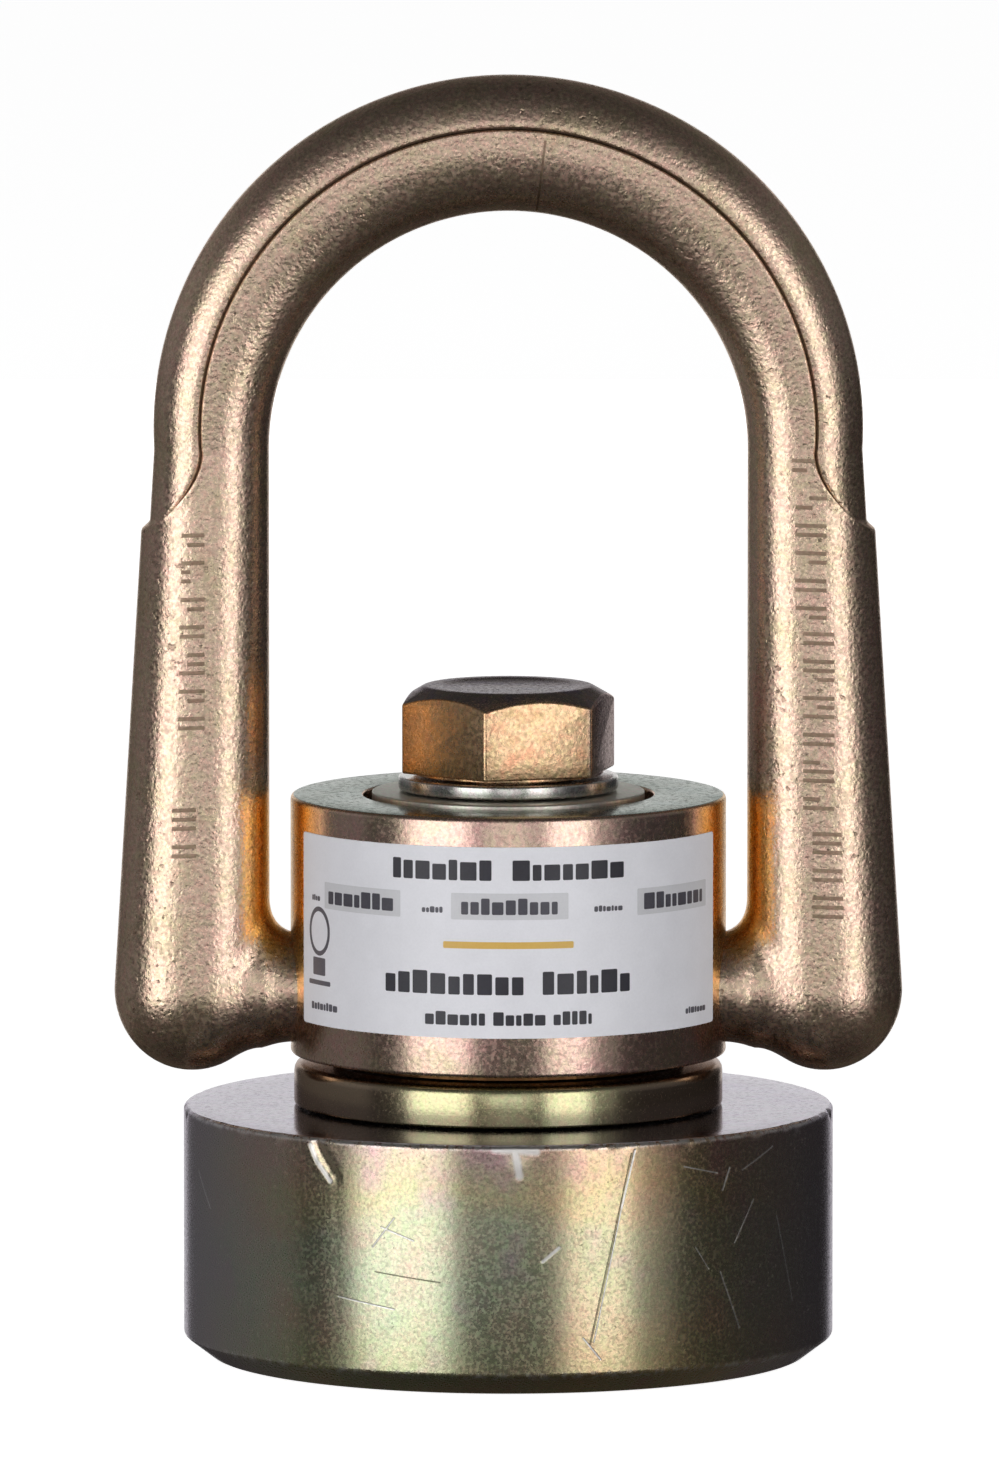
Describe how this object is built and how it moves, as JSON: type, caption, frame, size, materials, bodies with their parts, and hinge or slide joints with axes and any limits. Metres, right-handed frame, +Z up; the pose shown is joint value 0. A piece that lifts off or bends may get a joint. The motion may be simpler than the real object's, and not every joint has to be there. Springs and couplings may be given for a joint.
{
  "type": "swivel roof anchor",
  "caption": "Weld-on swivelling roof anchor: a forged bail tilts on a turning body that is bolted to a thick round base.",
  "frame": {"origin": "centre of the base disc's flat underside, the face that is welded to the structure", "axes": "+Z up along the swivel axis, X along the bail's trunnions, the label faces -Y"},
  "size_m": [0.1162, 0.0958, 0.1892],
  "materials": {
    "plated_steel": "yellow zinc plated, machined, glossy",
    "plated_forging": "yellow zinc plated forging, satin and grainy",
    "bright_steel": "bright zinc plated",
    "bronze": "plain bearing bronze",
    "spring_steel": "black phosphate",
    "vinyl": "matt vinyl label"
  },
  "bodies": {
    "base": {"base_disc": "plated_steel", "flanged_bushing": "plated_steel", "lower_thrust_washer": "bronze", "upper_thrust_washer": "bronze", "retaining_ring": "spring_steel", "retaining_washer": "bright_steel", "head_washer": "bright_steel", "hex_bolt": "plated_steel"},
    "swivel": {"swivel_body": "plated_steel", "label": "vinyl"},
    "bail": {"bail": "plated_forging"}
  },
  "joints": [
    {"name": "swivel_turn", "type": "hinge", "parent": "base", "child": "swivel", "pos_m": [0, 0, 0.0448], "axis": [0, 0, 1], "continuous": true},
    {"name": "bail_tilt", "type": "hinge", "parent": "swivel", "child": "bail", "pos_m": [0, 0, 0.0542], "axis": [1, 0, 0], "range_deg": [-104, 104]}
  ]
}
